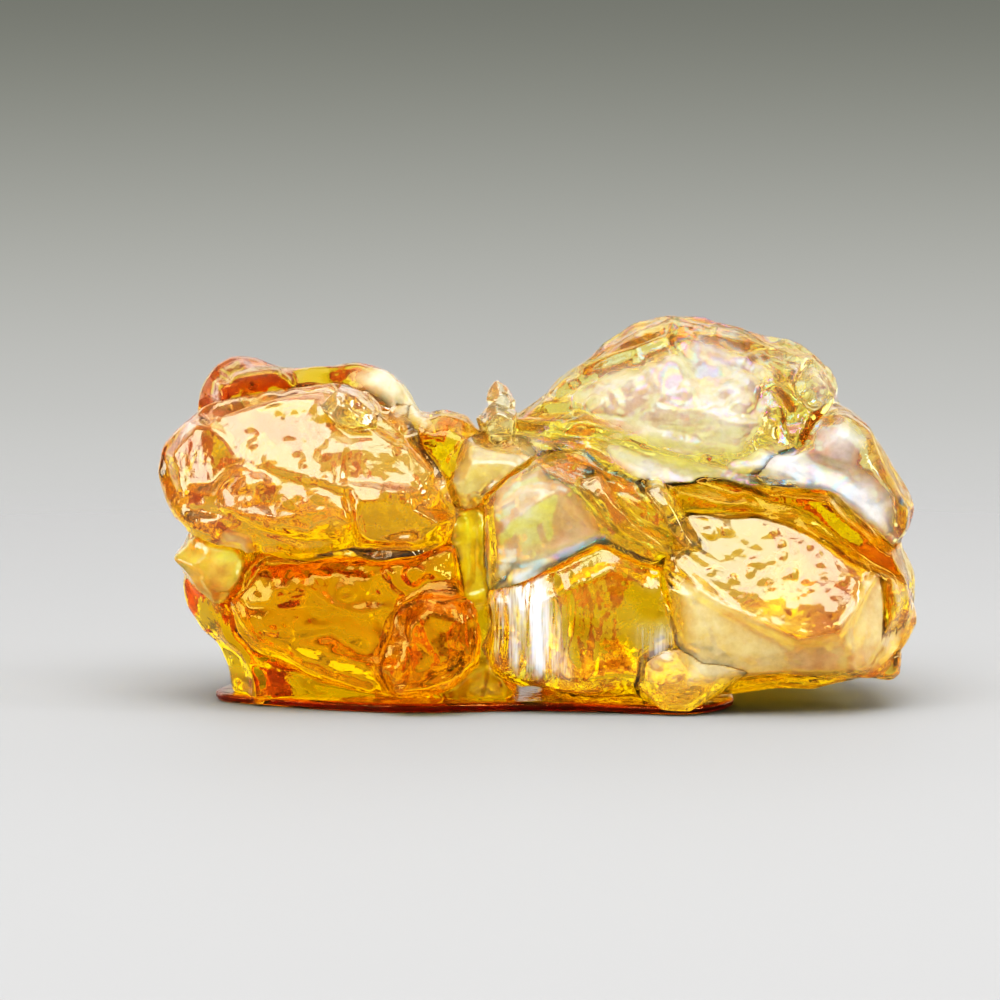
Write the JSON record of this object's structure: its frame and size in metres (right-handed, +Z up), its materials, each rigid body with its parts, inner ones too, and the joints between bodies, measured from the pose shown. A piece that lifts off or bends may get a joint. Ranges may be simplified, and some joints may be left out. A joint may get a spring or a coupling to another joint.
{
  "type": "raw rosin cake",
  "caption": "Broken lump of translucent amber rosin: two clusters of fractured, fused nuggets joined by a neck, standing on a thin melted base.",
  "frame": {"origin": "centre of the lump's footprint box, on the flat underside that it rests on", "axes": "+X along the lump from the lower left cluster to the domed right cluster, -Y towards the front with the broken faces, +Z up"},
  "size_m": [0.03, 0.0158, 0.0151],
  "materials": {
    "contact_film": "dark amber, glossy",
    "face_nub": "cream, glossy",
    "upper_splinter": "bright yellow, glossy",
    "lower_splinter": "bright yellow, glossy",
    "front_toe": "pale cream, glossy",
    "corner_chip": "amber, glossy",
    "ledge_tooth": "deep orange, glossy",
    "side_ear": "pale yellow, translucent and glossy",
    "left_upper_nugget": "cream amber, translucent with a glossy skin",
    "left_rear_fold": "golden amber, glossy",
    "left_lower_nugget": "saturated orange, clear and glossy",
    "melted_foot": "orange amber, clear and glossy",
    "neck_bridge": "orange amber, glossy",
    "neck_fold": "pearly yellow, glossy",
    "crumb_base": "pale cream, glossy",
    "crumb_tip": "pale cream, glossy",
    "valley_web": "yellow amber, clear and glossy",
    "clear_window": "clear straw yellow, glossy",
    "striated_block": "grey-gold with fine streaks, glossy",
    "cloudy_block": "cloudy peach cream, glossy",
    "right_shoulder": "pearly cream, glossy",
    "right_dome": "pearly cream with an amber rim, glossy",
    "amber_core": "deep clear amber, glossy"
  },
  "bodies": {
    "root": {"contact_film": "contact_film", "face_nub": "face_nub", "upper_splinter": "upper_splinter", "lower_splinter": "lower_splinter", "front_toe": "front_toe", "corner_chip": "corner_chip", "ledge_tooth": "ledge_tooth", "side_ear": "side_ear", "left_upper_nugget": "left_upper_nugget", "left_rear_fold": "left_rear_fold", "left_lower_nugget": "left_lower_nugget", "melted_foot": "melted_foot", "neck_bridge": "neck_bridge", "neck_fold": "neck_fold", "crumb_base": "crumb_base", "crumb_tip": "crumb_tip", "valley_web": "valley_web", "clear_window": "clear_window", "striated_block": "striated_block", "cloudy_block": "cloudy_block", "right_shoulder": "right_shoulder", "right_dome": "right_dome", "amber_core": "amber_core"}
  },
  "joints": []
}
